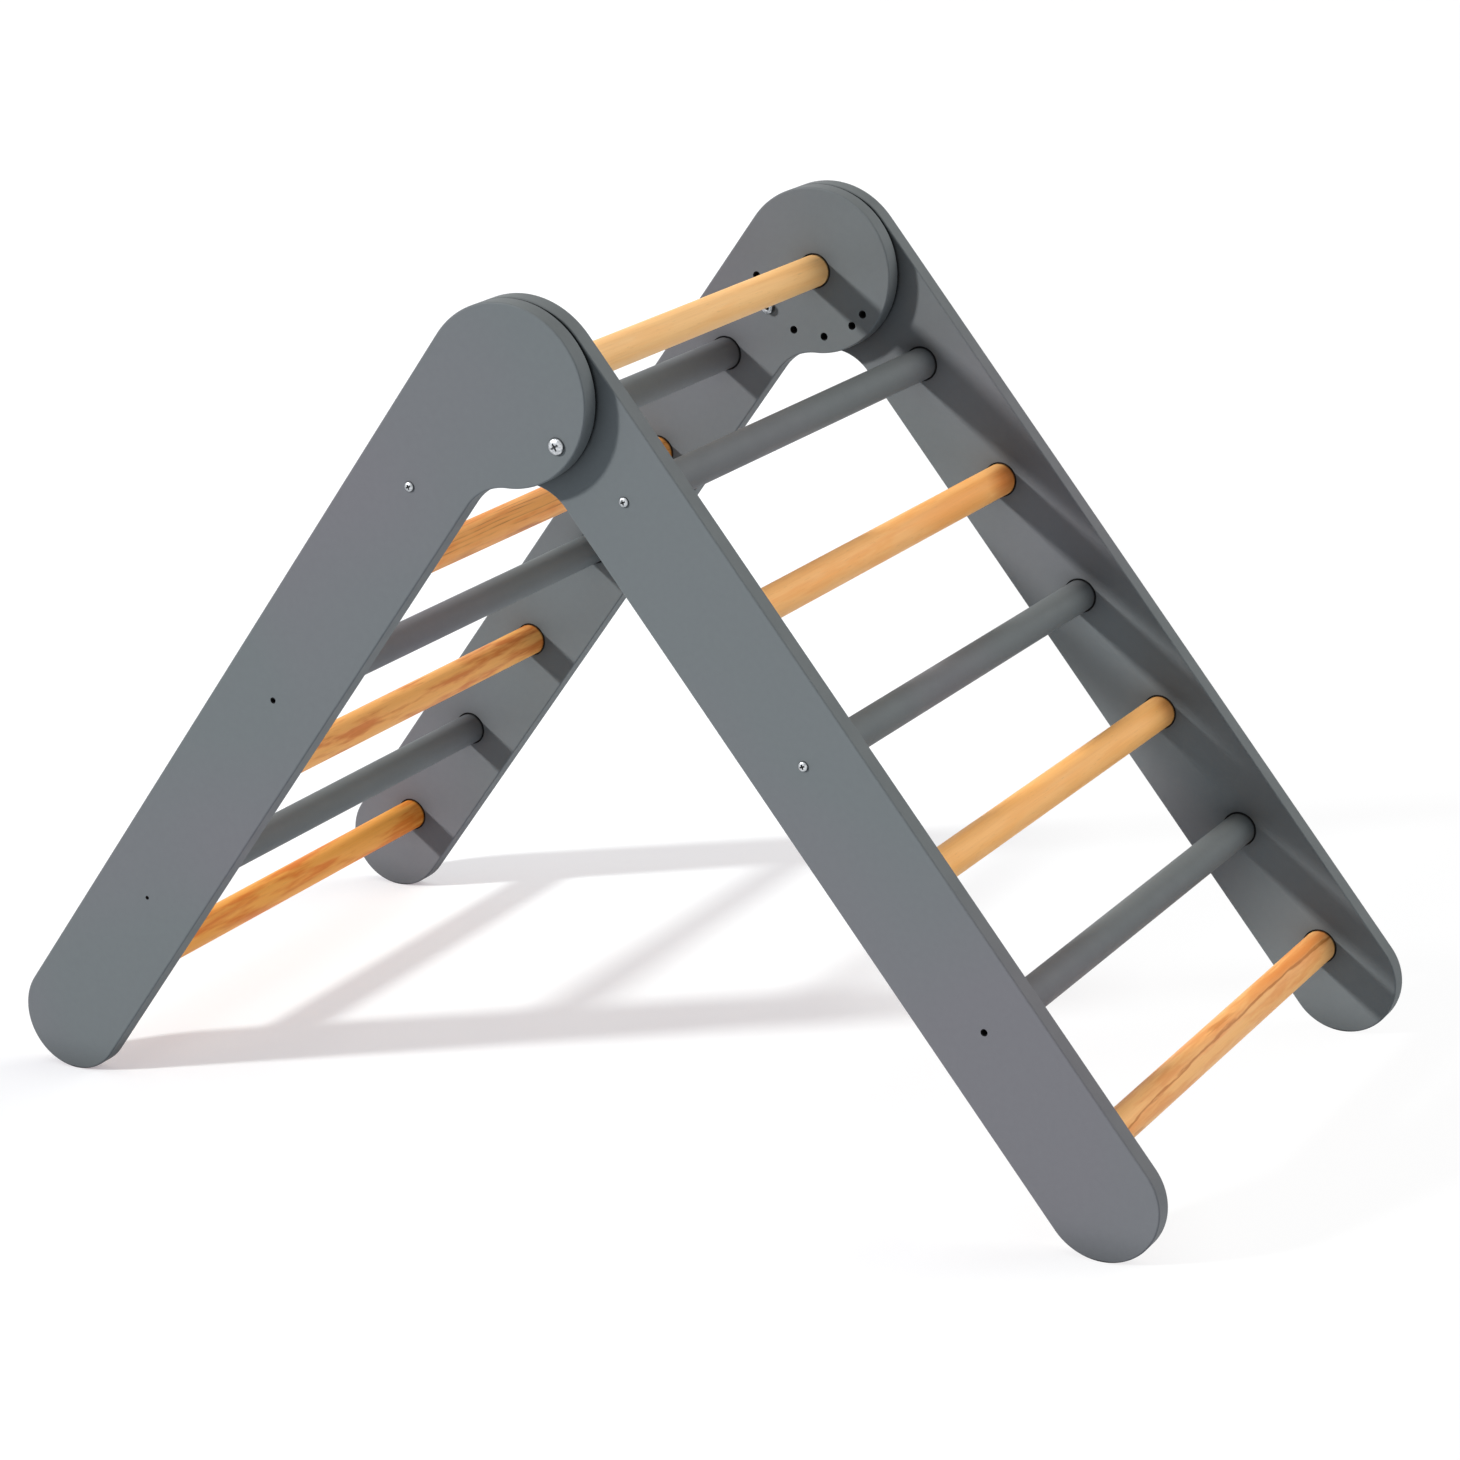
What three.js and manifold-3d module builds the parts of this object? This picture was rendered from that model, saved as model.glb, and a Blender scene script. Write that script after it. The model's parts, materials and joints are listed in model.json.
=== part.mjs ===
// Folding climbing triangle: two six-rung ladders that turn on one dowel at the top.
// Millimetres, +Z up. The origin is on the floor, under the middle of the top dowel.
// +X runs from the left ladder's feet to the right ladder's feet, and +Y runs along the rungs, away
// from the near side. Each ladder has one head on the outside of the hub and one on the inside, so
// the left ladder is the right one turned half way round about Z.
import * as THREE from 'three';
import { mergeVertices } from 'three/addons/utils/BufferGeometryUtils.js';
import Module from 'manifold-3d';

const wasm = await Module();
wasm.setup();

// How far the ladders stand apart, between their leg lines, in degrees
const openingAngle = 75;

// Side panels: a round head, a straight leg that is tangent to it outside, and a round foot
const panelThickness = 18;
const headRadius = 78;
const legWidth = 104;
const neckFilletRadius = 48;
const edgeRounding = 3;
const lastRungToFootCentre = 36;
const headGap = 3;

// Rungs: turned dowels on the centre line of the legs
const rungCount = 6;
const rungRadius = 15;
const pivotToFirstRung = 127;
const rungPitch = 130;
const rungSpan = 518;
const socketDepth = 10;

// Top dowel, the pivot of both ladders
const pivotRadius = 15;
const pivotSocketDepth = 10;

// Rung screws, through the panel into the end of every second rung
const screwedRungs = [1, 3, 5];
const screwShankRadius = 2;
const screwGripInRung = 30;
const screwTipLength = 4;
const screwHeadRadius = 4.2;
const screwHeadRim = 0.7;
const screwHeadHeight = 2.2;
const fittedScrews = {
  near_left: [1],
  near_right: [1, 3],
  far_left: [1, 3, 5],
  far_right: [1, 3, 5],
};

// Lock holes on an arc round the pivot, one for each opening angle that the ladders can be set to
const lockedOpenings = [45, 75, 105, 135, 165, 180];
const lockHoleToHeadEdge = 16;
const lockBoltAngle = 90;
const lockBoltRadius = 3;
const boltHeadRadius = 7;
const boltHeadRim = 1.2;
const boltHeadHeight = 3.6;
const nutAcrossFlats = 10;
const nutHeight = 4.5;
const nutBoreRadius = 1.9;
const nutBoreDepth = 14;

// Clearances
const seatGap = 0.3;
const socketClearance = 0.4;
const pivotClearance = 0.5;
const shankClearance = 0.3;
const cutOverrun = 1;

// Facets
const outlineArcStep = THREE.MathUtils.degToRad(7.5);
const roundingSteps = 2;
const dowelSides = 32;
const holeSides = 16;
const headArcSteps = 3;

// Sizes worked out from the ones above
const pivotToLastRung = pivotToFirstRung + (rungCount - 1) * rungPitch;
const legLength = pivotToLastRung + lastRungToFootCentre;
const legCentre = headRadius - legWidth / 2;
const legInnerEdge = headRadius - legWidth;
const lockCircleRadius = headRadius - lockHoleToHeadEdge;
const halfOpening = THREE.MathUtils.degToRad(openingAngle / 2);
const pivotHeight =
  legLength * Math.cos(halfOpening) - legCentre * Math.sin(halfOpening) + legWidth / 2;
const innerRungFace = (rungSpan - panelThickness - headGap) / 2;
const outerRungFace = (rungSpan + panelThickness + headGap) / 2;

const greyPaint = new THREE.MeshStandardMaterial({ color: 0x75797c, roughness: 0.55, metalness: 0 });
const naturalWood = new THREE.MeshStandardMaterial({ color: 0xd99a58, roughness: 0.5, metalness: 0 });
const steel = new THREE.MeshStandardMaterial({ color: 0xc8cacc, roughness: 0.3, metalness: 1 });

function toSolid(geometry) {
  const plain = geometry.index ? geometry.clone() : geometry;
  plain.deleteAttribute('normal');
  plain.deleteAttribute('uv');
  const merged = mergeVertices(plain);
  return new wasm.Manifold(
    new wasm.Mesh({
      numProp: 3,
      vertProperties: new Float32Array(merged.attributes.position.array),
      triVerts: new Uint32Array(merged.index.array),
    }),
  );
}

function toGeometry(solid) {
  const mesh = solid.getMesh();
  const geometry = new THREE.BufferGeometry();
  geometry.setAttribute('position', new THREE.BufferAttribute(mesh.vertProperties, 3));
  geometry.setIndex(new THREE.BufferAttribute(mesh.triVerts, 1));
  geometry.computeVertexNormals();
  return geometry;
}

function cutAll(geometry, cutters) {
  let solid = toSolid(geometry);
  for (const cutter of cutters) {
    solid = solid.subtract(toSolid(cutter));
  }
  return toGeometry(solid);
}

// Cylinder along Y between two heights, over a point given in X and Z
function rodAlongY(radius, yFrom, yTo, sides, point = { x: 0, z: 0 }) {
  const rod = new THREE.CylinderGeometry(radius, radius, Math.abs(yTo - yFrom), sides);
  rod.translate(point.x, (yFrom + yTo) / 2, point.z);
  return rod;
}

function namedMesh(name, geometry, material) {
  const mesh = new THREE.Mesh(geometry, material);
  mesh.name = name;
  return mesh;
}

// Point on an arc round the pivot. The angle is taken from the leg line, towards the leg's outer edge.
function onPivotArc(radius, degrees) {
  const angle = THREE.MathUtils.degToRad(degrees);
  return { x: radius * Math.sin(angle), z: -radius * Math.cos(angle) };
}

function rungPoint(number) {
  return { x: legCentre, z: -pivotToFirstRung - (number - 1) * rungPitch };
}

// Points of an arc, both ends included, in steps no wider than outlineArcStep
function arcPoints(centreX, centreY, radius, fromAngle, toAngle) {
  const steps = Math.ceil(Math.abs(toAngle - fromAngle) / outlineArcStep);
  const points = [];
  for (let step = 0; step <= steps; step += 1) {
    const angle = fromAngle + ((toAngle - fromAngle) * step) / steps;
    const x = centreX + radius * Math.cos(angle);
    const y = centreY + radius * Math.sin(angle);
    points.push(new THREE.Vector2(x, y));
  }
  return points;
}

// Panel outline, seen with the pivot at zero, the leg hanging down and its outer edge at +X. The
// foot, the fillet at the neck and the head are arcs, and straight edges join them at their ends.
function panelOutline() {
  const filletCentreX = legInnerEdge - neckFilletRadius;
  const filletDrop = Math.sqrt((headRadius + neckFilletRadius) ** 2 - filletCentreX ** 2);
  const filletSweep = Math.atan2(filletDrop, -filletCentreX);
  const foot = arcPoints(legCentre, -legLength, legWidth / 2, 0, -Math.PI);
  const fillet = arcPoints(filletCentreX, -filletDrop, neckFilletRadius, 0, filletSweep);
  const head = arcPoints(0, 0, headRadius, Math.PI + filletSweep, 0);
  return new THREE.Shape([...foot, ...fillet, ...head.slice(1)]);
}

// Blank panel with all its edges rounded over. Its rung face is at Y zero, and it lies on the side
// of that face that towards gives, as 1 or -1.
function panelBlank(towards) {
  const blank = new THREE.ExtrudeGeometry(panelOutline(), {
    depth: panelThickness - 2 * edgeRounding,
    bevelEnabled: true,
    bevelThickness: edgeRounding,
    bevelSize: edgeRounding,
    bevelOffset: -edgeRounding,
    bevelSegments: roundingSteps,
  });
  blank.translate(0, 0, edgeRounding - panelThickness / 2);
  blank.rotateX(Math.PI / 2);
  blank.translate(0, towards * panelThickness / 2, 0);
  return blank;
}

function throughHole(radius, towards, point) {
  const nearEnd = -towards * cutOverrun;
  const farEnd = towards * (panelThickness + cutOverrun);
  return rodAlongY(radius, nearEnd, farEnd, holeSides, point);
}

function blindSocket(radius, depth, towards, point) {
  return rodAlongY(radius, -towards * cutOverrun, towards * depth, dowelSides, point);
}

// Sockets for the ladder's own rungs, and the holes for their screws
function rungCuts(towards) {
  const cuts = [];
  for (let number = 1; number <= rungCount; number += 1) {
    cuts.push(blindSocket(rungRadius + socketClearance, socketDepth, towards, rungPoint(number)));
  }
  for (const number of screwedRungs) {
    cuts.push(throughHole(screwShankRadius + shankClearance, towards, rungPoint(number)));
  }
  return cuts;
}

// Outer head: a blind socket for the top dowel and one hole for the lock bolt
function outerPanel(towards) {
  const boltPoint = onPivotArc(lockCircleRadius, -lockBoltAngle);
  return cutAll(panelBlank(towards), [
    ...rungCuts(towards),
    blindSocket(pivotRadius + pivotClearance, pivotSocketDepth, towards),
    throughHole(lockBoltRadius + shankClearance, towards, boltPoint),
  ]);
}

// Inner head: the top dowel runs right through, and the arc of lock holes goes round it
function innerPanel(towards) {
  const pivotBore = rodAlongY(
    pivotRadius + pivotClearance,
    -towards * cutOverrun,
    towards * (panelThickness + cutOverrun),
    dowelSides,
  );
  const lockHoles = lockedOpenings.map((opening) =>
    throughHole(
      lockBoltRadius + shankClearance,
      towards,
      onPivotArc(lockCircleRadius, lockBoltAngle - opening),
    ),
  );
  return cutAll(panelBlank(towards), [...rungCuts(towards), pivotBore, ...lockHoles]);
}

// Dowel between the two rung faces of a ladder, with a pilot bore in both ends where it is screwed
function rung(number) {
  const ends = [
    { y: -innerRungFace - socketDepth + seatGap, inwards: 1 },
    { y: outerRungFace + socketDepth - seatGap, inwards: -1 },
  ];
  const point = rungPoint(number);
  const dowel = rodAlongY(rungRadius, ends[0].y, ends[1].y, dowelSides, point);
  if (!screwedRungs.includes(number)) {
    return dowel;
  }
  const pilotDepth = screwGripInRung + cutOverrun;
  const pilots = ends.map(({ y, inwards }) =>
    rodAlongY(
      screwShankRadius + shankClearance,
      y - inwards * cutOverrun,
      y + inwards * pilotDepth,
      holeSides,
      point,
    ),
  );
  return cutAll(dowel, pilots);
}

// Rounded top of a pan head, as lathe points from the rim to the axis
function panHeadArc(radius, rim, height) {
  const points = [];
  for (let step = 0; step <= headArcSteps; step += 1) {
    const angle = (step / headArcSteps) * (Math.PI / 2);
    points.push(new THREE.Vector2(radius * Math.cos(angle), rim + (height - rim) * Math.sin(angle)));
  }
  points[headArcSteps].x = 0;
  return points;
}

// Screw along Y, its head's seat at zero and its tip below
function rungScrew() {
  const reach = seatGap + panelThickness - socketDepth + seatGap + screwGripInRung;
  return new THREE.LatheGeometry(
    [
      new THREE.Vector2(0, -reach),
      new THREE.Vector2(screwShankRadius, -reach + screwTipLength),
      new THREE.Vector2(screwShankRadius, 0),
      new THREE.Vector2(screwHeadRadius, 0),
      ...panHeadArc(screwHeadRadius, screwHeadRim, screwHeadHeight),
    ],
    holeSides,
  );
}

// Lock bolt along Y, its head's seat at zero. Its shank ends flush with the outer head's inner face.
function lockBolt() {
  const reach = seatGap + panelThickness;
  return new THREE.LatheGeometry(
    [
      new THREE.Vector2(0, -reach),
      new THREE.Vector2(lockBoltRadius, -reach),
      new THREE.Vector2(lockBoltRadius, 0),
      new THREE.Vector2(boltHeadRadius, 0),
      ...panHeadArc(boltHeadRadius, boltHeadRim, boltHeadHeight),
    ],
    holeSides,
  );
}

// Sleeve nut along Y: a hexagon on its seat at zero, and a sleeve below it that fills the lock hole
function lockNut() {
  const hexagonRadius = nutAcrossFlats / Math.sqrt(3);
  const sleeveLength = seatGap + panelThickness;
  const hexagon = new THREE.CylinderGeometry(hexagonRadius, hexagonRadius, nutHeight, 6);
  hexagon.translate(0, nutHeight / 2, 0);
  const sleeve = rodAlongY(lockBoltRadius, -sleeveLength, nutHeight / 2, holeSides);
  const bore = rodAlongY(nutBoreRadius, nutHeight - nutBoreDepth, nutHeight + cutOverrun, holeSides);
  return toGeometry(toSolid(hexagon).add(toSolid(sleeve)).subtract(toSolid(bore)));
}

// Fastener on a panel face: its seat height along Y, and which way its head points, as 1 or -1
function seatedFastener(name, geometry, point, seatY, headTowards) {
  const fastener = namedMesh(name, geometry, steel);
  fastener.position.set(point.x, seatY, point.z);
  fastener.rotation.z = headTowards > 0 ? 0 : Math.PI;
  return fastener;
}

// One panel with its screws and its half of the lock. The panel's rung face is at rungFaceY.
function panelAssembly(side, ladderName, isInner, rungFaceY, towards) {
  const prefix = `${side}_${ladderName}`;
  const assembly = new THREE.Group();
  const shape = isInner ? innerPanel(towards) : outerPanel(towards);
  const outsideSeat = towards * (panelThickness + seatGap);
  assembly.position.y = rungFaceY;
  assembly.add(namedMesh(`${prefix}_panel`, shape, greyPaint));
  for (const number of fittedScrews[prefix]) {
    const name = `${prefix}_screw_${number}`;
    assembly.add(seatedFastener(name, rungScrew(), rungPoint(number), outsideSeat, towards));
  }
  if (isInner) {
    const point = onPivotArc(lockCircleRadius, lockBoltAngle - openingAngle);
    const seat = -towards * seatGap;
    assembly.add(seatedFastener(`${side}_lock_nut`, lockNut(), point, seat, -towards));
  } else {
    const point = onPivotArc(lockCircleRadius, -lockBoltAngle);
    assembly.add(seatedFastener(`${side}_lock_bolt`, lockBolt(), point, outsideSeat, towards));
  }
  return assembly;
}

// Ladder with its inner head at -Y, its leg leaning towards +X and the pivot at the group's zero
function ladder(ladderName, innerSide, outerSide) {
  const leaning = new THREE.Group();
  leaning.rotation.y = -halfOpening;
  leaning.add(panelAssembly(innerSide, ladderName, true, -innerRungFace, -1));
  leaning.add(panelAssembly(outerSide, ladderName, false, outerRungFace, 1));
  for (let number = 1; number <= rungCount; number += 1) {
    const finish = screwedRungs.includes(number) ? greyPaint : naturalWood;
    leaning.add(namedMesh(`${ladderName}_rung_${number}`, rung(number), finish));
  }
  return leaning;
}

// Top dowel, from one outer head's socket to the other's, through both inner heads
function pivotDowel() {
  const halfLength = outerRungFace + pivotSocketDepth - seatGap;
  return rodAlongY(pivotRadius, -halfLength, halfLength, dowelSides);
}

const rightLadder = ladder('right', 'near', 'far');
const leftLadder = new THREE.Group();
leftLadder.rotation.z = Math.PI;
leftLadder.add(ladder('left', 'far', 'near'));

const climbingTriangle = new THREE.Group();
climbingTriangle.position.z = pivotHeight;
climbingTriangle.add(leftLadder);
climbingTriangle.add(rightLadder);
climbingTriangle.add(namedMesh('pivot_rung', pivotDowel(), naturalWood));

export default climbingTriangle;
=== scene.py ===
# Folding climbing triangle: two six-rung ladders in satin grey paint and lacquered wood, which turn on
# a top dowel and bolt at set angles. Metres, +Z up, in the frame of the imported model.
import json
import math
from collections import namedtuple

import bmesh
import bpy
from mathutils import Matrix, Vector
from mathutils.geometry import tessellate_polygon

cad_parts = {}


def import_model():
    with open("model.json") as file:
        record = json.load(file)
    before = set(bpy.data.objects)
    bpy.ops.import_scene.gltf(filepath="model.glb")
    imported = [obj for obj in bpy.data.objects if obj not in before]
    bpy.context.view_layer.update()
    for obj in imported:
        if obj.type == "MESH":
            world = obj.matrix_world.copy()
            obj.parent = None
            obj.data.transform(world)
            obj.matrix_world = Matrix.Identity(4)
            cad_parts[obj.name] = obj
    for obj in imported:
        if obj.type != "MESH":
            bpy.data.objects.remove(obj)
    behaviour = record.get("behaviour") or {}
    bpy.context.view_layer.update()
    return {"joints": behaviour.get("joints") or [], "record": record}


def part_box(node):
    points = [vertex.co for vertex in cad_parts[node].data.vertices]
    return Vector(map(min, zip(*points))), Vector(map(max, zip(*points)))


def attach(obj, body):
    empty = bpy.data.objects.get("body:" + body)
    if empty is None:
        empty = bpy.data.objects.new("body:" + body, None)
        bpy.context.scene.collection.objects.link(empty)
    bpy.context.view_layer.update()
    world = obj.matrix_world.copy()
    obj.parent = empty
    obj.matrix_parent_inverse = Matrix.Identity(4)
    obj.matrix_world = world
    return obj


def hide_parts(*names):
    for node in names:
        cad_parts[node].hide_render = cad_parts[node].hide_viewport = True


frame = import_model()

# Side panels. The head is drawn 0.03 mm inside the solid's, whose coarser facets end there
HEAD_RADIUS = 0.07797
LEG_WIDTH = 0.104
NECK_FILLET_RADIUS = 0.048
LAST_RUNG_TO_FOOT_CENTRE = 0.036
EDGE_ROUNDING = 0.0016
MOUTH_ROUNDING = 0.0005
SOCKET_MOUTH = 0.0011

# Each panel's ladder, 1 for the right one and -1 for the left one, and whether its head is an inner one
PANELS = {
    "near_left_panel": (-1, False),
    "far_left_panel": (-1, True),
    "near_right_panel": (1, True),
    "far_right_panel": (1, False),
}

# Holes in the panels. Angles are in degrees
SOCKET_DEPTH = 0.010
SOCKET_CLEARANCE = 0.0004
PIVOT_CLEARANCE = 0.0005
SCREW_HOLE_RADIUS = 0.0023
SCREWED_RUNGS = (1, 3, 5)
ODD_SCREW_HOLES = {("near_left_panel", 5): 0.0014, ("near_right_panel", 5): 0.0027}
PILOT_DEPTH = 0.031
LOCK_HOLE_RADIUS = 0.0033
LOCK_CIRCLE_RADIUS = 0.062
LOCK_BOLT_ANGLE = 90.0
LOCKED_OPENINGS = (45, 75, 105, 135, 165, 180)

# Dowels
RUNG_COUNT = 6
DOWEL_CHAMFER = 0.001

# Rung screws and lock bolts. A recess is a cross, given by its reach, the width of its arms and its
# depth, and its turn is in degrees
SCREW_SHANK_RADIUS = 0.002
SCREW_TIP_LENGTH = 0.004
SCREW_HEAD_RADIUS = 0.0042
SCREW_HEAD_RIM = 0.0007
SCREW_HEAD_HEIGHT = 0.0022
SCREW_RECESS = (0.0027, 0.0015, 0.0015)
SCREW_RECESS_TURN = 20
BOLT_RADIUS = 0.003
BOLT_HEAD_RADIUS = 0.007
BOLT_HEAD_RIM = 0.0012
BOLT_HEAD_HEIGHT = 0.0036
BOLT_RECESS = (0.0043, 0.0019, 0.0026)
BOLT_RECESS_TURN = 30
RECESS_FLOOR_SHARE = 0.34
CUTTER_OVERRUN = 0.5

# Sleeve nuts: the bore's mouth as a share of the bore, and the flat top as one of half the hexagon
NUT_ACROSS_FLATS = 0.010
NUT_HEIGHT = 0.0045
NUT_BORE_RADIUS = 0.0019
NUT_BORE_DEPTH = 0.014
NUT_MOUTH_SHARE = 1.25
NUT_TOP_SHARE = 0.985
NUT_CHAMFER_ANGLE = 30.0
NUT_TURN = 0.3

# Facets
ARC_STEP = 2.5
ROUNDING_STEPS = 6
MOUTH_STEPS = 2
DOWEL_SIDES = 96
SOCKET_SIDES = 64
HOLE_SIDES = 32
HEAD_SIDES = 48
HEAD_STEPS = 8
SHARP_ANGLE = math.radians(38)

record = frame["record"]
slot_of = {part["node"]: part["material_slot"] for part in record["subparts"]}
body_of = {node: body for body, nodes in record["behaviour"]["bodies"].items() for node in nodes}
pivot_height = frame["joints"][0]["pos_m"][2]


def middle(node):
    low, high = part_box(node)
    return (low + high) / 2


def dowel_radius(node):
    low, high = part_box(node)
    return (high.z - low.z) / 2


def from_pivot(point):
    return Vector((point.x, point.z - pivot_height))


# The right ladder's rungs give the lean of the legs, and the rungs' places along and across them
first_rung = from_pivot(middle("right_rung_1"))
last_rung = from_pivot(middle("right_rung_6"))
leg_direction = (last_rung - first_rung).normalized()
across_direction = Vector((-leg_direction.y, leg_direction.x))
leg_centre = first_rung.dot(across_direction)
first_rung_drop = first_rung.dot(leg_direction)
rung_pitch = (last_rung - first_rung).length / (RUNG_COUNT - 1)
leg_length = last_rung.dot(leg_direction) + LAST_RUNG_TO_FOOT_CENTRE
leg_inner_edge = leg_centre - LEG_WIDTH / 2


def clear_defaults():
    for name in ("Cube", "Light", "Camera"):
        if name in bpy.data.objects:
            bpy.data.objects.remove(bpy.data.objects[name])


def add_object(name, data):
    thing = bpy.data.objects.new(name, data)
    bpy.context.scene.collection.objects.link(thing)
    return thing


def arc(centre, radius, start, end):
    """Points of an arc in degrees, both ends included."""
    steps = math.ceil(abs(end - start) / ARC_STEP)
    points = []
    for step in range(steps + 1):
        angle = math.radians(start + (end - start) * step / steps)
        points.append(centre + radius * Vector((math.cos(angle), math.sin(angle))))
    return points


def circle(centre, radius, sides):
    turns = [2 * math.pi * index / sides for index in range(sides)]
    return [centre + radius * Vector((math.cos(turn), math.sin(turn))) for turn in turns]


def panel_outline(inset):
    """Outline across and up the leg, drawn in by inset. The head is round the origin."""
    fillet_x = leg_inner_edge - NECK_FILLET_RADIUS
    fillet_drop = math.sqrt((HEAD_RADIUS + NECK_FILLET_RADIUS) ** 2 - fillet_x**2)
    sweep = math.degrees(math.atan2(fillet_drop, -fillet_x))
    foot = arc(Vector((leg_centre, -leg_length)), LEG_WIDTH / 2 - inset, 0, -180)
    fillet = arc(Vector((fillet_x, -fillet_drop)), NECK_FILLET_RADIUS + inset, 0, sweep)
    head = arc(Vector((0, 0)), HEAD_RADIUS - inset, 180 + sweep, 0)
    return foot + fillet + head[1:]


def edge_levels(thickness):
    """Inset and depth of each outline, from a panel's rung side to its outside, round both edges."""
    rounding = []
    for step in range(ROUNDING_STEPS + 1):
        angle = math.radians(90 * step / ROUNDING_STEPS)
        rounding.append((EDGE_ROUNDING * (1 - math.sin(angle)), EDGE_ROUNDING * (1 - math.cos(angle))))
    return rounding + [(inset, thickness - depth) for inset, depth in reversed(rounding)]


def mouth(radius, depth, inwards, rounding=MOUTH_ROUNDING):
    """Rounded mouth of a hole: radius and depth pairs, from the face inwards."""
    pairs = []
    for step in range(MOUTH_STEPS + 1):
        angle = math.radians(90 * step / MOUTH_STEPS)
        wider = rounding * (1 - math.sin(angle))
        deeper = rounding * (1 - math.cos(angle))
        pairs.append((radius + wider, depth + inwards * deeper))
    return pairs


def through_hole(radius, thickness, rounding=MOUTH_ROUNDING):
    return mouth(radius, 0, 1, rounding) + mouth(radius, thickness, -1)[::-1]


def blind_hole(radius, depth):
    return mouth(radius, 0, 1, SOCKET_MOUTH) + [(radius, depth)]


def stepped_hole(radius, depth, inner_radius, thickness):
    return blind_hole(radius, depth) + [(inner_radius, depth)] + mouth(inner_radius, thickness, -1)[::-1]


def on_lock_circle(degrees):
    """Point on the lock circle. The angle is taken from the leg line, towards its outer edge."""
    angle = math.radians(degrees)
    return LOCK_CIRCLE_RADIUS * Vector((math.sin(angle), -math.cos(angle)))


def rung_point(number):
    return Vector((leg_centre, -first_rung_drop - (number - 1) * rung_pitch))


def panel_holes(node, inner, thickness):
    """Centre, profile, sides and whether it goes through, for each hole of a panel."""
    socket_radius = dowel_radius("right_rung_1") + SOCKET_CLEARANCE
    bore_radius = dowel_radius("pivot_rung") + PIVOT_CLEARANCE
    holes = []
    for number in range(1, RUNG_COUNT + 1):
        screwed = number in SCREWED_RUNGS
        if screwed:
            screw_radius = ODD_SCREW_HOLES.get((node, number), SCREW_HOLE_RADIUS)
            profile = stepped_hole(socket_radius, SOCKET_DEPTH, screw_radius, thickness)
        else:
            profile = blind_hole(socket_radius, SOCKET_DEPTH)
        holes.append((rung_point(number), profile, SOCKET_SIDES, screwed))
    lock_profile = through_hole(LOCK_HOLE_RADIUS, thickness)
    if inner:
        bore = through_hole(bore_radius, thickness, SOCKET_MOUTH)
        holes.append((Vector((0, 0)), bore, SOCKET_SIDES, True))
        for opening in LOCKED_OPENINGS:
            holes.append((on_lock_circle(LOCK_BOLT_ANGLE - opening), lock_profile, HOLE_SIDES, True))
    else:
        holes.append((Vector((0, 0)), blind_hole(bore_radius, SOCKET_DEPTH), SOCKET_SIDES, False))
        holes.append((on_lock_circle(-LOCK_BOLT_ANGLE), lock_profile, HOLE_SIDES, True))
    return holes


def bridge(bm, ring, other, material_index=0):
    """Faces between two rings of equal length. A ring of one vertex is a pole."""
    count = max(len(ring), len(other))
    for index in range(count):
        following = (index + 1) % count
        corners = [ring[index % len(ring)], ring[following % len(ring)]]
        corners += [other[following % len(other)], other[index % len(other)]]
        face = bm.faces.new(list(dict.fromkeys(corners)))
        face.material_index = material_index


def fill(bm, rings):
    """Flat face inside the first ring, open at the others."""
    vertices = [vertex for ring in rings for vertex in ring]
    for triangle in tessellate_polygon([[vertex.co for vertex in ring] for ring in rings]):
        bm.faces.new([vertices[index] for index in triangle])


def closed_mesh(name, bm):
    """Mesh of a closed form, with its faces turned outwards."""
    bmesh.ops.recalc_face_normals(bm, faces=bm.faces)
    mesh = bpy.data.meshes.new(name)
    bm.to_mesh(mesh)
    bm.free()
    return mesh


def smooth(mesh):
    mesh.shade_smooth()
    mesh.set_sharp_from_angle(angle=SHARP_ANGLE)


def finished_piece(name, bm, *materials):
    mesh = closed_mesh(name, bm)
    for material in materials:
        mesh.materials.append(material)
    smooth(mesh)
    return add_object(name, mesh)


def dress(node, piece):
    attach(piece, body_of[node])
    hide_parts(node)


def make_panel(node, side, inner, paint, shade_lining):
    """Panel with its holes and rounded edges. Side is 1 for the right ladder and -1 for the left."""
    low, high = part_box(node)
    thickness = high.y - low.y
    towards = 1 if low.y > 0 else -1
    rung_face = low.y if towards > 0 else high.y
    bm = bmesh.new()

    def world(point, depth):
        place = across_direction * point.x - leg_direction * point.y
        return bm.verts.new((side * place.x, rung_face + towards * depth, pivot_height + place.y))

    rings = []
    for inset, depth in edge_levels(thickness):
        rings.append([world(point, depth) for point in panel_outline(inset)])
    for ring, other in zip(rings, rings[1:]):
        bridge(bm, ring, other)
    inside, outside = [rings[0]], [rings[-1]]
    for centre, profile, sides, through in panel_holes(node, inner, thickness):
        hole = []
        for radius, depth in profile:
            hole.append([world(point, depth) for point in circle(centre, radius, sides)])
        # Index 1 puts the painted shade on the hole walls and floors, round the dowel mouths too
        for ring, other in zip(hole, hole[1:]):
            bridge(bm, ring, other, 1)
        inside.append(hole[0])
        if through:
            outside.append(hole[-1])
        else:
            bm.faces.new(hole[-1]).material_index = 1
    fill(bm, inside)
    fill(bm, outside)
    piece = finished_piece(f"{node}_fine", bm, paint, shade_lining)
    weighted = piece.modifiers.new("flat faces", "WEIGHTED_NORMAL")
    weighted.keep_sharp = True
    weighted.weight = 100
    dress(node, piece)


def revolve(bm, centre, profile, sides, towards):
    """Body of revolution along Y. The profile holds radius and height pairs and may end on the axis."""
    rings = []
    for radius, height in profile:
        ring = []
        for index in range(sides if radius > 0 else 1):
            turn = 2 * math.pi * index / sides
            x = centre.x + radius * math.cos(turn)
            z = centre.z + radius * math.sin(turn)
            ring.append(bm.verts.new((x, centre.y + towards * height, z)))
        rings.append(ring)
    for ring, other in zip(rings, rings[1:]):
        bridge(bm, ring, other)


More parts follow.
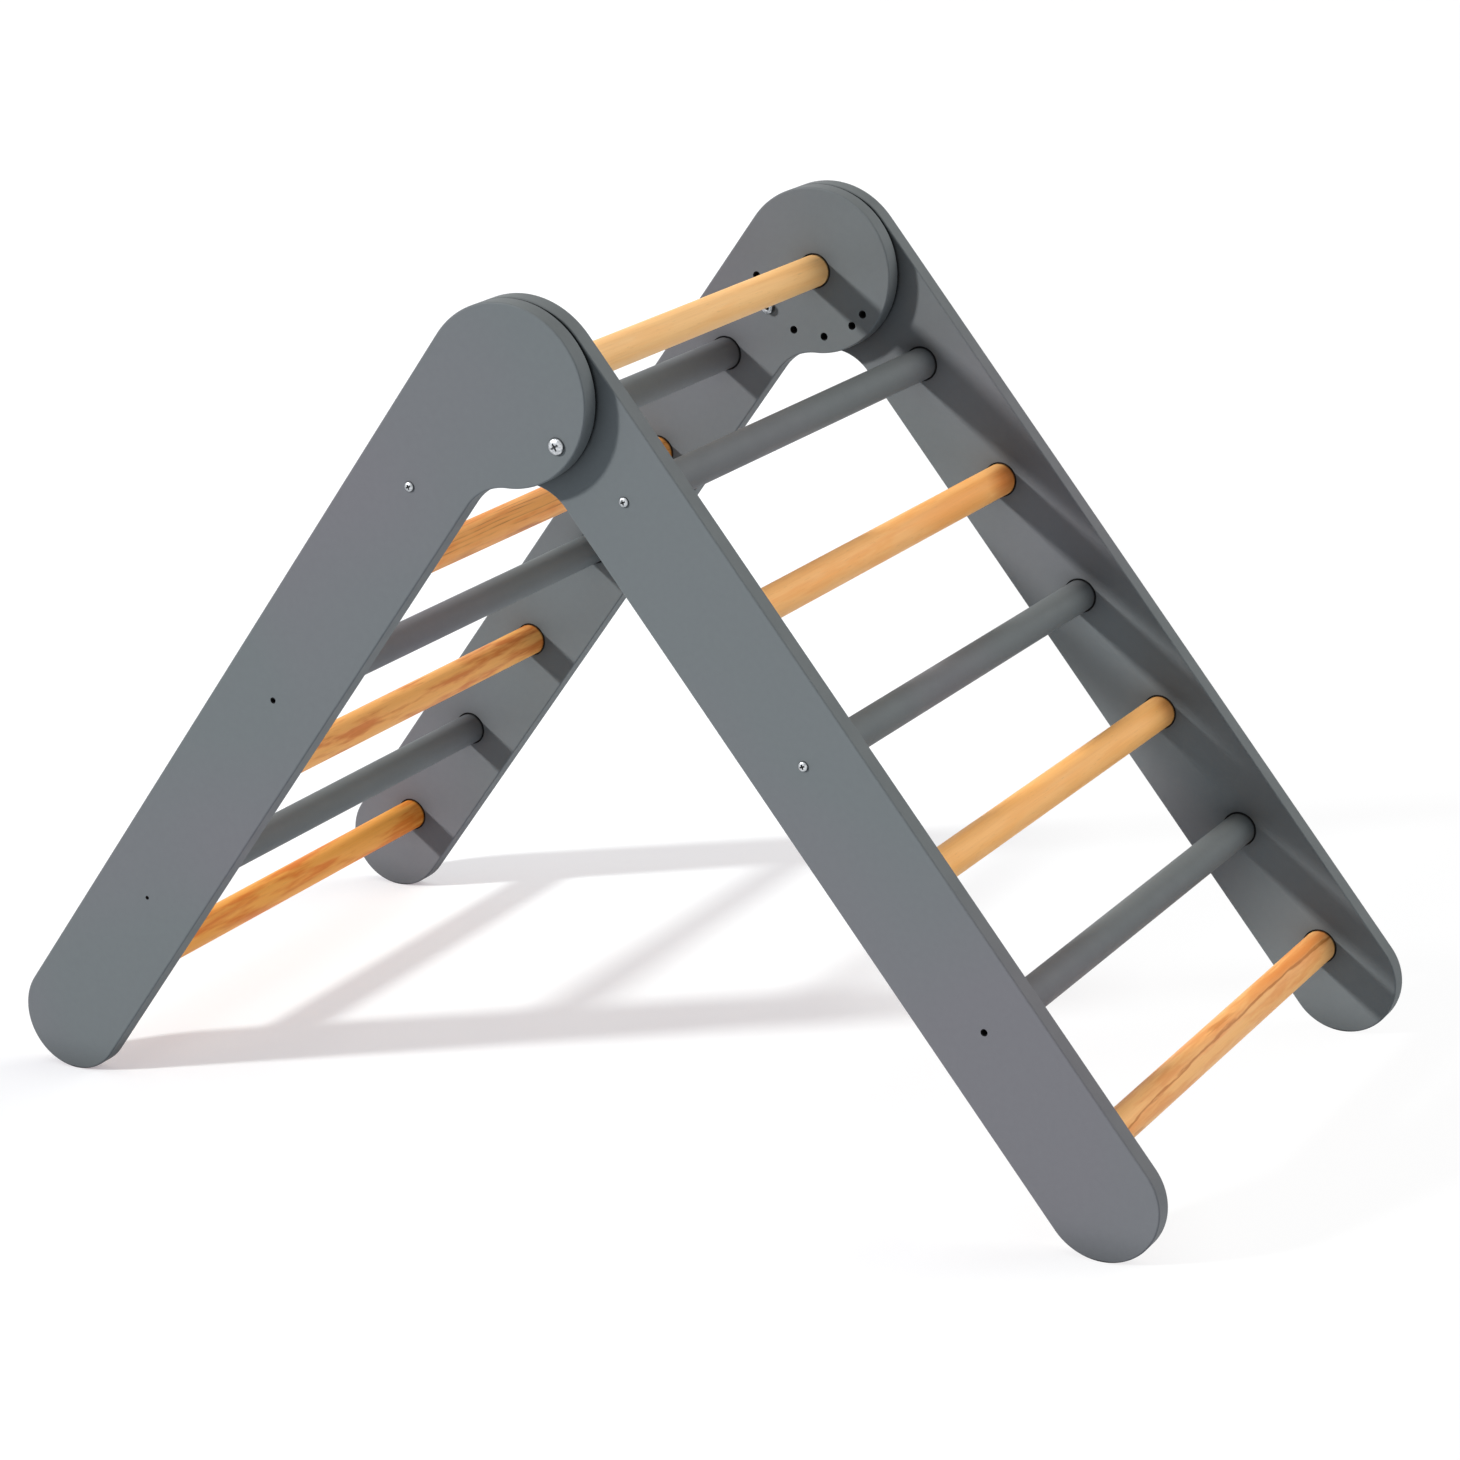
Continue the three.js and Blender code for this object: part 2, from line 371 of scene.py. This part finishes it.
def make_dowel(node, material, pilot_bores):
    low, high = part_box(node)
    centre = (low + high) / 2
    centre.y = low.y
    length = high.y - low.y
    radius = dowel_radius(node)
    end = [(radius - DOWEL_CHAMFER, 0), (radius, DOWEL_CHAMFER)]
    if pilot_bores:
        start = [(0, PILOT_DEPTH), (SCREW_HOLE_RADIUS, PILOT_DEPTH), (SCREW_HOLE_RADIUS, 0)] + end
    else:
        start = [(0, 0)] + end
    profile = start + [(r, length - height) for r, height in reversed(start)]
    bm = bmesh.new()
    revolve(bm, centre, profile, DOWEL_SIDES, 1)
    dress(node, finished_piece(f"{node}_fine", bm, material))


def cross_cutter(crown, towards, recess, turn):
    """Tapered cross that cuts a drive recess into a head, down from the middle of its crown."""
    reach, width, depth = recess
    half = width / 2
    outline = []
    for quarter in range(4):
        angle = math.radians(90 * quarter + turn)
        for x, z in ((half, half), (half, reach), (-half, reach)):
            turned_x = x * math.cos(angle) - z * math.sin(angle)
            turned_z = x * math.sin(angle) + z * math.cos(angle)
            outline.append((turned_x, turned_z))
    bm = bmesh.new()
    rings = []
    for share, height in ((1.0, depth * CUTTER_OVERRUN), (1.0, 0.0), (RECESS_FLOOR_SHARE, -depth)):
        ring = []
        for x, z in outline:
            place = (crown.x + x * share, crown.y + towards * height, crown.z + z * share)
            ring.append(bm.verts.new(place))
        rings.append(ring)
    for ring, other in zip(rings, rings[1:]):
        bridge(bm, ring, other)
    fill(bm, [rings[0]])
    fill(bm, [rings[-1]])
    return add_object("cutter", closed_mesh("cutter", bm))


def cut(piece, cutter, shade_lining):
    """Takes the cutter's shape out of the piece, lines the cut with painted shade and deletes the cutter.
    """
    cutter.data.materials.append(shade_lining)
    modifier = piece.modifiers.new("recess", "BOOLEAN")
    modifier.operation = "DIFFERENCE"
    modifier.solver = "EXACT"
    modifier.material_mode = "TRANSFER"
    modifier.object = cutter
    evaluated = piece.evaluated_get(bpy.context.evaluated_depsgraph_get())
    mesh = bpy.data.meshes.new_from_object(evaluated)
    piece.modifiers.clear()
    piece.data = mesh
    bpy.data.objects.remove(cutter)
    smooth(mesh)


def pan_head(radius, rim, height):
    """Radius and height pairs of a pan head, from the edge of its seat to its crown."""
    pairs = [(radius, 0)]
    for step in range(HEAD_STEPS + 1):
        angle = math.radians(90 * step / HEAD_STEPS)
        pairs.append((radius * math.cos(angle), rim + (height - rim) * math.sin(angle)))
    pairs[-1] = (0, height)
    return pairs


def make_screw(node, shank, tip, head, recess, turn, steel, shade_lining):
    """Pan head fastener. Its head lies on the outside of a panel, and its shank goes inwards."""
    low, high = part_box(node)
    towards = 1 if (low.y + high.y) > 0 else -1
    top = high.y if towards > 0 else low.y
    height = head[-1][1]
    seat = Vector(((low.x + high.x) / 2, top - towards * height, (low.z + high.z) / 2))
    reach = high.y - low.y - height
    bm = bmesh.new()
    revolve(bm, seat, [(0, -reach), (shank, tip - reach), (shank, 0)] + head, HEAD_SIDES, towards)
    piece = finished_piece(f"{node}_fine", bm, steel)
    crown = Vector((seat.x, top, seat.z))
    cut(piece, cross_cutter(crown, towards, recess, turn), shade_lining)
    dress(node, piece)


def make_nut(node, material):
    """Sleeve nut: a chamfered hexagon on the rung side of an inner head, and a sleeve in its hole."""
    low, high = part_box(node)
    towards = -1 if (low.y + high.y) > 0 else 1
    top = low.y if towards < 0 else high.y
    seat = Vector(((low.x + high.x) / 2, top - towards * NUT_HEIGHT, (low.z + high.z) / 2))
    sleeve = high.y - low.y - NUT_HEIGHT
    flat = NUT_ACROSS_FLATS / 2
    slope = math.tan(math.radians(NUT_CHAMFER_ANGLE))
    bm = bmesh.new()

    def ring(radius, height):
        """Ring at a height. Without a radius it follows the hexagon, and without a height its chamfer."""
        vertices = []
        for index in range(HEAD_SIDES):
            angle = 2 * math.pi * index / HEAD_SIDES
            corner = flat / math.cos((angle % math.radians(60)) - math.radians(30))
            r = corner if radius is None else radius
            h = NUT_HEIGHT - (corner - flat) * slope if height is None else height
            x = seat.x + r * math.cos(angle + NUT_TURN)
            z = seat.z + r * math.sin(angle + NUT_TURN)
            vertices.append(bm.verts.new((x, seat.y + towards * h, z)))
        return vertices

    def pole(height):
        return [bm.verts.new((seat.x, seat.y + towards * height, seat.z))]

    mouth_radius = NUT_BORE_RADIUS * NUT_MOUTH_SHARE
    rings = [
        pole(-sleeve),
        ring(BOLT_RADIUS, -sleeve),
        ring(BOLT_RADIUS, 0),
        ring(None, 0),
        ring(None, None),
        ring(flat * NUT_TOP_SHARE, NUT_HEIGHT),
        ring(mouth_radius, NUT_HEIGHT),
        ring(NUT_BORE_RADIUS, NUT_HEIGHT - (mouth_radius - NUT_BORE_RADIUS)),
        ring(NUT_BORE_RADIUS, NUT_HEIGHT - NUT_BORE_DEPTH),
        pole(NUT_HEIGHT - NUT_BORE_DEPTH),
    ]
    for one, other in zip(rings, rings[1:]):
        bridge(bm, one, other)
    dress(node, finished_piece(f"{node}_fine", bm, material))


BLACK = (0.0, 0.0, 0.0)
WHITE = (1.0, 1.0, 1.0)

# The values of a noise between which a number and a mottled tone change
NOISE_SPAN = (0.3, 0.7)
TONE_SPAN = (0.35, 0.65)

# The sockets of a colour Mix node, and the samples that measure how sheltered a place is
MIX_FACTOR, MIX_ONE, MIX_OTHER, MIX_RESULT = 0, 6, 7, 2
SHELTER_SAMPLES = 8


def srgb(red, green, blue):
    """Linear colour of an 8-bit display colour."""
    channels = []
    for value in (red, green, blue):
        share = value / 255
        channels.append(share / 12.92 if share <= 0.04045 else ((share + 0.055) / 1.055) ** 2.4)
    return tuple(channels)


class Tree:
    """Small helper that adds and links the shader nodes of a material or of the sky."""

    def __init__(self, owner, shader="Principled BSDF"):
        owner.use_nodes = True
        self.tree = owner.node_tree
        self.shader = self.tree.nodes[shader]
        self.object_place = None

    def add(self, kind, **settings):
        node = self.tree.nodes.new(kind)
        for key, value in settings.items():
            setattr(node, key, value)
        return node

    def feed(self, socket, value):
        """Gives a socket another node's output, a colour or a number."""
        if isinstance(value, bpy.types.NodeSocket):
            self.tree.links.new(value, socket)
        elif isinstance(value, tuple):
            socket.default_value = (*value, 1)
        else:
            socket.default_value = value

    def place(self):
        """Place on the piece, in the piece's own coordinates."""
        if self.object_place is None:
            self.object_place = self.add("ShaderNodeTexCoord").outputs["Object"]
        return self.object_place

    def moved(self, source, location, rotation=(0.0, 0.0, 0.0)):
        """Place as measured from another spot, and turned."""
        mapping = self.add("ShaderNodeMapping", vector_type="TEXTURE")
        mapping.inputs["Location"].default_value = location
        mapping.inputs["Rotation"].default_value = rotation
        self.feed(mapping.inputs["Vector"], source)
        return mapping.outputs["Vector"]

    def stretched(self, scale, source=None):
        mapping = self.add("ShaderNodeMapping")
        mapping.inputs["Scale"].default_value = scale
        self.feed(mapping.inputs["Vector"], source or self.place())
        return mapping.outputs["Vector"]

    def noise(self, scale, detail=2.0, place=None, roughness=0.5):
        node = self.add("ShaderNodeTexNoise")
        self.feed(node.inputs["Scale"], scale)
        self.feed(node.inputs["Detail"], detail)
        self.feed(node.inputs["Roughness"], roughness)
        self.feed(node.inputs["Vector"], place or self.place())
        return node.outputs["Fac"]

    def ramp(self, factor, stops):
        node = self.add("ShaderNodeValToRGB")
        elements = node.color_ramp.elements
        while len(elements) < len(stops):
            elements.new(0.5)
        for element, (position, colour) in zip(elements, stops):
            element.position = position
            element.color = (*colour, 1)
        self.feed(node.inputs["Fac"], factor)
        return node.outputs["Color"]

    def remap(self, value, span, target):
        """Value whose span is spread over the target's two ends, and stops there."""
        node = self.add("ShaderNodeMapRange")
        for name, number in zip(("From Min", "From Max", "To Min", "To Max"), (*span, *target)):
            self.feed(node.inputs[name], number)
        self.feed(node.inputs["Value"], value)
        return node.outputs["Result"]

    def mix(self, factor, one, other, blend="MIX"):
        node = self.add("ShaderNodeMix", data_type="RGBA", blend_type=blend)
        self.feed(node.inputs[MIX_FACTOR], factor)
        self.feed(node.inputs[MIX_ONE], one)
        self.feed(node.inputs[MIX_OTHER], other)
        return node.outputs[MIX_RESULT]

    def times(self, colour, share):
        return self.mix(1.0, colour, share, "MULTIPLY")

    def maths(self, operation, one, other=0.0):
        node = self.add("ShaderNodeMath", operation=operation)
        self.feed(node.inputs[0], one)
        self.feed(node.inputs[1], other)
        return node.outputs[0]

    def dot(self, place, direction):
        node = self.add("ShaderNodeVectorMath", operation="DOT_PRODUCT")
        node.inputs[1].default_value = direction
        self.feed(node.inputs[0], place)
        return node.outputs["Value"]

    def bump(self, height, distance):
        node = self.add("ShaderNodeBump")
        self.feed(node.inputs["Distance"], distance)
        self.feed(node.inputs["Height"], height)
        return node.outputs["Normal"]

    def mottled(self, scale, dark, light, detail=2.0):
        """Mottled tone between two display colours."""
        stops = zip(TONE_SPAN, (srgb(*dark), srgb(*light)))
        return self.ramp(self.noise(scale, detail), list(stops))

    def varied(self, scale, low, high, detail=2.0, place=None):
        """Number that varies from place to place."""
        return self.remap(self.noise(scale, detail, place), NOISE_SPAN, (low, high))

    def with_painted_shade(self, colour, reach, closed, clear, darkest):
        """Colour with painted shade: darker where other surfaces come within reach of it."""
        node = self.add("ShaderNodeAmbientOcclusion", samples=SHELTER_SAMPLES)
        self.feed(node.inputs["Distance"], reach)
        return self.times(colour, self.remap(node.outputs["AO"], (closed, clear), (darkest, 1.0)))

    def seen(self):
        """1 where the camera or a reflection shows the surface, and 0 where it only gives light."""
        path = self.add("ShaderNodeLightPath")
        return self.maths("MAXIMUM", path.outputs["Is Camera Ray"], path.outputs["Is Glossy Ray"])

    def finish(self, **inputs):
        """Feeds the shader. An underscore in a name stands for a space."""
        for name, value in inputs.items():
            self.feed(self.shader.inputs[name.replace("_", " ")], value)


def new_material(name):
    material = bpy.data.materials.new(name)
    return material, Tree(material)


# Painted shade, drawn into the colour where other surfaces come close: dark lines along seams and round
# dowel mouths, and softer dark hollows where a panel meets a head or a dowel. It holds the reach in
# metres, the open shares of the sky between which they set in, and the darkest tone
CREASE_SHADE = (0.005, 0.5, 0.75, 0.08)
HOLLOW_SHADE = (0.045, 0.45, 0.9, 0.62)

# Paint: its cloudy tones, with where they start and end in the cloud's noise
PAINT_TONES = [(0.42, srgb(105, 109.5, 110.5)), (0.66, srgb(109.5, 108.5, 112))]


def grey_paint():
    """Satin sprayed paint: a fine orange peel, faint cloudy tone, rougher patches, and painted shade
    along seams and in hollows.
    """
    material, tree = new_material("grey_paint_satin")
    cloud = tree.ramp(tree.noise(scale=3.2, detail=1.0), PAINT_TONES)
    colour = tree.times(cloud, tree.varied(scale=180.0, low=0.985, high=1.015, detail=3.0))
    # Painted shade along seams and round dowel mouths, and softer painted shade in hollows near heads and
    # dowels
    colour = tree.with_painted_shade(tree.with_painted_shade(colour, *CREASE_SHADE), *HOLLOW_SHADE)
    tree.finish(
        Base_Color=colour,
        Roughness=tree.varied(scale=35.0, low=0.52, high=0.62),
        Specular_IOR_Level=0.17,
        Normal=tree.bump(tree.noise(scale=600.0), distance=0.00004),
    )
    return material


def painted_hole_shade():
    """Painted shade inside the drilled holes and round the dowel mouths: a near-black tone, rough and a
    little mottled.
    """
    material, tree = new_material("painted_shade_in_holes")
    tree.finish(
        Base_Color=tree.mottled(scale=300.0, dark=(22, 22, 23), light=(34, 33, 33)),
        Roughness=tree.varied(scale=500.0, low=0.8, high=0.95),
        Specular_IOR_Level=0.1,
        Normal=tree.bump(tree.noise(scale=800.0), distance=0.00008),
    )
    return material


def zinc_steel():
    """Zinc plate with a faint mottled tone and fine scuffs."""
    material, tree = new_material("zinc_steel")
    tree.finish(
        Base_Color=tree.mottled(scale=500.0, dark=(156, 160, 164), light=(206, 209, 212), detail=3.0),
        Roughness=tree.varied(scale=900.0, low=0.28, high=0.4),
        Metallic=1.0,
        Normal=tree.bump(tree.noise(scale=1500.0), distance=0.00006),
    )
    return material


def recess_shade(name, dark, light):
    """Painted shade down in the drive recesses: a dull, mottled tone."""
    material, tree = new_material(name)
    tree.finish(
        Base_Color=tree.mottled(scale=900.0, dark=dark, light=light),
        Roughness=tree.varied(scale=700.0, low=0.5, high=0.7),
        Metallic=0.6,
    )
    return material


# Marks in the grain lie at a place along the dowel, in metres from its middle, and at a place across its
# upper right side, from -1 to 1. A spot has a half length in metres, a half width across, a tone and a
# strength. A vein is a thin line that bends away from its highest place, and has a half width too.
Spot = namedtuple("Spot", "along across length width tone share")
Vein = namedtuple("Vein", "along across bend width share")
MARK_ACROSS = Vector((-0.54, 0.0, 0.84))
MARK_RADIUS = 0.015
MARK_WAVER = 0.6
SPOT_CORE = 0.1
VEIN_CORE = 0.3

# The grain's turn round a dowel, how far the grain, the fibres and the pores are drawn out along it, and
# how far apart the places in the wood lie that the dowels are cut from
GRAIN_TURN = math.radians(35)
GRAIN_STRETCH = (1, 0.11, 1)
FIBRE_STRETCH = (1, 0.02, 1)
PORE_STRETCH = (1, 0.06, 1)
SEED_STEP = 0.7

# Growth rings turn dark slowly and end sharply, and are broken where a noise is low
RING_LINE = [(0.6, BLACK), (0.9, WHITE), (1.0, BLACK)]
RING_BREAKS = (0.4, 0.62)
FLAME_EDGE = (0.45, 0.62)
PORE_EDGE = (0.68, 0.76)


def wood_look(pale, rich, dark, **figure):
    """Look of one dowel.

    It holds the tones of the ground, the flames and the rings, the rings' distance in metres and how far
    they wobble, the strength of the rings and of the flames, and single marks.
    """
    look = {
        "ring": 0.007,
        "wobble": 3.0,
        "lines": 0.15,
        "patches": 0.6,
        "spots": (),
        "veins": (),
    }
    look.update(pale=srgb(*pale), rich=srgb(*rich), dark=srgb(*dark), **figure)
    return look


WOOD_LOOKS = {
    "pivot_rung": wood_look(pale=(255, 200, 132), rich=(253, 191, 119), dark=(226, 152, 86), seed=1),
    "right_rung_2": wood_look(
        pale=(255, 188, 114),
        rich=(250, 168, 84),
        dark=(220, 122, 50),
        spots=(
            Spot(along=0.245, across=-0.2, length=0.04, width=1.0, tone="dark", share=0.8),
            Spot(along=0.14, across=-0.1, length=0.1, width=0.9, tone="rich", share=0.9),
        ),
        seed=2,
    ),
    "right_rung_4": wood_look(
        pale=(255, 189, 113),
        rich=(253, 180, 97),
        dark=(230, 142, 68),
        spots=(Spot(along=0.26, across=0.0, length=0.03, width=1.0, tone="dark", share=0.5),),
        seed=3,
    ),
    "right_rung_6": wood_look(
        pale=(252, 188, 117),
        rich=(234, 144, 70),
        dark=(186, 104, 28),
        lines=0.0,
        spots=(
            Spot(along=0.2, across=0.65, length=0.14, width=0.35, tone="rich", share=0.9),
            Spot(along=0.015, across=0.7, length=0.035, width=0.08, tone="dark", share=0.45),
        ),
        veins=(
            Vein(along=0.1, across=0.4, bend=6.0, width=0.11, share=0.8),
            Vein(along=-0.25, across=-0.85, bend=4.0, width=0.09, share=0.4),
        ),
        seed=4,
    ),
    "left_rung_2": wood_look(
        pale=(253, 177, 96),
        rich=(244, 153, 72),
        dark=(182, 104, 50),
        ring=0.0032,
        wobble=6.0,
        lines=0.85,
        patches=0.9,
        seed=5,
    ),
    "left_rung_4": wood_look(
        pale=(255, 182, 98), rich=(226, 132, 60), dark=(190, 104, 40), patches=1.0, seed=6
    ),
    "left_rung_6": wood_look(
        pale=(255, 174, 76), rich=(236, 130, 38), dark=(200, 108, 34), patches=1.0, seed=7
    ),
}


def ring_lines(tree, grain, look):
    """Share of the rings' tone: thin, broken lines where the growth rings cross a dowel."""
    wave = tree.add("ShaderNodeTexWave", wave_type="BANDS", bands_direction="X", wave_profile="SAW")
    tree.feed(wave.inputs["Scale"], math.pi / (10 * look["ring"]))
    tree.feed(wave.inputs["Distortion"], look["wobble"])
    tree.feed(wave.inputs["Detail"], 2.0)
    tree.feed(wave.inputs["Detail Scale"], 0.5)
    tree.feed(wave.inputs["Vector"], grain)
    line = tree.ramp(wave.outputs["Fac"], RING_LINE)
    kept = tree.remap(tree.noise(scale=150.0, place=grain), RING_BREAKS, (0.0, 1.0))
    return tree.maths("MULTIPLY", tree.maths("MULTIPLY", line, kept), look["lines"])


def squared_distance(tree, value, place, reach):
    """Squared distance from a place, in units of the reach."""
    return tree.maths("POWER", tree.maths("DIVIDE", tree.maths("SUBTRACT", value, place), reach), 2.0)


def place_marks(tree, local, look, colour, waver):
    """Lays the look's spots and veins over the colour, with edges that waver."""
    parts = tree.add("ShaderNodeSeparateXYZ")
    tree.feed(parts.inputs[0], local)
    along = parts.outputs["Y"]
    wavering = tree.maths("MULTIPLY", tree.maths("SUBTRACT", waver, 0.5), MARK_WAVER)
    across = tree.maths("ADD", tree.dot(local, MARK_ACROSS / MARK_RADIUS), wavering)
    for spot in look["spots"]:
        lengthwise = squared_distance(tree, along, spot.along, spot.length)
        crosswise = squared_distance(tree, across, spot.across, spot.width)
        apart = tree.maths("ADD", lengthwise, crosswise)
        share = tree.remap(apart, (SPOT_CORE, 1.0), (spot.share, 0.0))
        colour = tree.mix(share, colour, look[spot.tone])
    for vein in look["veins"]:
        run = tree.maths("POWER", tree.maths("SUBTRACT", along, vein.along), 2.0)
        line = tree.maths("SUBTRACT", vein.across, tree.maths("MULTIPLY", run, vein.bend))
        apart = tree.maths("ABSOLUTE", tree.maths("SUBTRACT", across, line))
        share = tree.remap(apart, (VEIN_CORE * vein.width, vein.width), (vein.share, 0.0))
        colour = tree.mix(share, colour, look["dark"])
    return colour


def natural_wood(node):
    """Lacquered hardwood with its grain along the rung.

    Growth rings cross the dowel as thin darker lines, flames of a richer tone lie between them, single
    marks lie where the look places them, and fine fibres and pores run lengthwise.
    """
    look = WOOD_LOOKS[node]
    material, tree = new_material(f"{node}_wood")
    local = tree.moved(tree.place(), middle(node))
    grain = tree.moved(local, (0, look["seed"] * SEED_STEP, 0), (0, GRAIN_TURN, 0))
    grain = tree.stretched(GRAIN_STRETCH, grain)
    fibres = tree.stretched(FIBRE_STRETCH)

    flame = tree.noise(scale=110.0, detail=3.0, place=grain, roughness=0.6)
    colour = tree.mix(tree.remap(flame, FLAME_EDGE, (0.0, look["patches"])), look["pale"], look["rich"])
    colour = tree.mix(ring_lines(tree, grain, look), colour, look["dark"])
    colour = place_marks(tree, local, look, colour, tree.noise(scale=170.0, detail=3.0, place=grain))
    colour = tree.times(colour, tree.varied(scale=700.0, low=0.97, high=1.02, place=fibres))
    pores = tree.noise(scale=1300.0, detail=1.0, place=tree.stretched(PORE_STRETCH))
    colour = tree.times(colour, tree.remap(pores, PORE_EDGE, (1.0, 0.88)))
    tree.finish(
        # Painted shade round the dowel's ends, where they meet the panels
        Base_Color=tree.with_painted_shade(colour, *CREASE_SHADE),
        Roughness=tree.varied(scale=60.0, low=0.46, high=0.56, place=grain),
        Specular_IOR_Level=0.3,
        Normal=tree.bump(tree.noise(scale=700.0, place=fibres), distance=0.00004),
    )
    return material


# Camera at the photograph's place: its spot, its azimuth, elevation and roll in degrees, and its lens
CAMERA_PLACE = Vector((1.7303, -2.9216, 1.4058))
CAMERA_AZIMUTH = 30.137
CAMERA_ELEVATION = 17.927
CAMERA_ROLL = -2.322
CAMERA_LENS = 97.37
CAMERA_REACH = 100


def make_camera():
    camera = add_object("camera", bpy.data.cameras.new("camera"))
    azimuth, elevation = math.radians(CAMERA_AZIMUTH), math.radians(CAMERA_ELEVATION)
    level = math.cos(elevation)
    forward = Vector((-math.sin(azimuth) * level, math.cos(azimuth) * level, -math.sin(elevation)))
    upright = forward.to_track_quat("-Z", "Y").to_matrix()
    camera.location = CAMERA_PLACE
    camera.rotation_euler = (upright @ Matrix.Rotation(math.radians(CAMERA_ROLL), 3, "Z")).to_euler()
    camera.data.lens = CAMERA_LENS
    camera.data.clip_end = CAMERA_REACH
    bpy.context.scene.camera = camera


# Key light from the upper left, soft fill from the right and back, and soft light from above, by the
# directions that they travel in, and an even sky
KEY_TRAVEL = Vector((0.609, 0.646, -0.459))
KEY_STRENGTH = 3.25
KEY_ANGLE = math.radians(5)
FILL_TRAVEL = Vector((-0.636, -0.534, -0.559))
FILL_STRENGTH = 1.5
FILL_ANGLE = math.radians(55)
TOP_TRAVEL = Vector((0.0, 0.01, -1.0))
TOP_STRENGTH = 0.62
TOP_ANGLE = math.radians(60)
WARM = (1.0, 0.98, 0.93)
SKY_STRENGTH = 0.14
SKY_COLOUR = (0.86, 1.0, 1.18)

# Floor: how much light it gives back to the object, and how it looks to the camera
FLOOR_SIZE = 30.0
FLOOR_BOUNCE = (0.80, 0.86, 0.94)
FLOOR_SHADE = (0.70, 0.74, 0.73)
FLOOR_GLOW = (0.37, 0.33, 0.35)
FLOOR_ROUGHNESS = 0.9

# Where painted light on the floor fades the shadow out, away to the right, in metres along a direction,
# and how much of the shadow stays
FADE_DIRECTION = Vector((0.87, 0.49, 0.0))
FADE_SPAN = (0.1, 0.42)
FADE_LEFT = 0.1


def make_sun(name, travel, strength, angle, colour=WHITE):
    light = bpy.data.lights.new(name, "SUN")
    light.energy = strength
    light.color = colour
    light.angle = angle
    sun = add_object(name, light)
    sun.rotation_euler = travel.to_track_quat("-Z", "Y").to_euler()


def make_sky():
    """Even sky at a plain level, which looks white to the camera and in reflections."""
    world = bpy.data.worlds.new("sky")
    bpy.context.scene.world = world
    tree = Tree(world, "Background")
    seen = tree.seen()
    tree.finish(
        Strength=tree.remap(seen, (0.0, 1.0), (SKY_STRENGTH, 1.0)),
        Color=tree.mix(seen, SKY_COLOUR, WHITE),
    )


def make_floor():
    """White floor that keeps the object's shadow and shows it faintly, with painted light that fades the
    shadow out to the right.
    """
    mesh = bpy.data.meshes.new("floor")
    half = FLOOR_SIZE / 2
    corners = [(-half, -half, 0), (half, -half, 0), (half, half, 0), (-half, half, 0)]
    mesh.from_pydata(corners, [], [(0, 1, 2, 3)])
    add_object("floor", mesh)
    material, tree = new_material("floor_white")
    seen = tree.seen()
    kept = tree.remap(tree.dot(tree.place(), FADE_DIRECTION), FADE_SPAN, (1.0, FADE_LEFT))
    tree.finish(
        Base_Color=tree.mix(seen, FLOOR_BOUNCE, tree.mix(kept, BLACK, FLOOR_SHADE)),
        Roughness=FLOOR_ROUGHNESS,
        Specular_IOR_Level=0.0,
        Emission_Color=tree.mix(seen, BLACK, tree.mix(kept, WHITE, FLOOR_GLOW)),
        Emission_Strength=1.0,
    )
    mesh.materials.append(material)


def make_object():
    paint = grey_paint()
    shade_lining = painted_hole_shade()
    steel = zinc_steel()
    # Painted shade for the drive recesses of the screws and of the bolts
    screw_recess = recess_shade("screw_recess_painted_shade", dark=(46, 48, 50), light=(70, 72, 74))
    bolt_recess = recess_shade("bolt_recess_painted_shade", dark=(98, 100, 102), light=(142, 144, 146))
    for node, (side, inner) in PANELS.items():
        make_panel(node, side, inner, paint, shade_lining)
    for node in slot_of:
        if node in WOOD_LOOKS:
            make_dowel(node, natural_wood(node), pilot_bores=False)
        elif "rung" in node:
            make_dowel(node, paint, pilot_bores=int(node[-1]) in SCREWED_RUNGS)
        elif "screw" in node:
            make_screw(
                node,
                shank=SCREW_SHANK_RADIUS,
                tip=SCREW_TIP_LENGTH,
                head=pan_head(SCREW_HEAD_RADIUS, SCREW_HEAD_RIM, SCREW_HEAD_HEIGHT),
                recess=SCREW_RECESS,
                turn=SCREW_RECESS_TURN,
                steel=steel,
                shade_lining=screw_recess,
            )
        elif "bolt" in node:
            make_screw(
                node,
                shank=BOLT_RADIUS,
                tip=0,
                head=pan_head(BOLT_HEAD_RADIUS, BOLT_HEAD_RIM, BOLT_HEAD_HEIGHT),
                recess=BOLT_RECESS,
                turn=BOLT_RECESS_TURN,
                steel=steel,
                shade_lining=bolt_recess,
            )
        elif "nut" in node:
            make_nut(node, steel)


bpy.context.scene.view_settings.view_transform = "Standard"
clear_defaults()
make_camera()
make_object()
make_sun("key", KEY_TRAVEL, KEY_STRENGTH, KEY_ANGLE)
make_sun("fill", FILL_TRAVEL, FILL_STRENGTH, FILL_ANGLE, WARM)
make_sun("top", TOP_TRAVEL, TOP_STRENGTH, TOP_ANGLE, WARM)
make_sky()
make_floor()
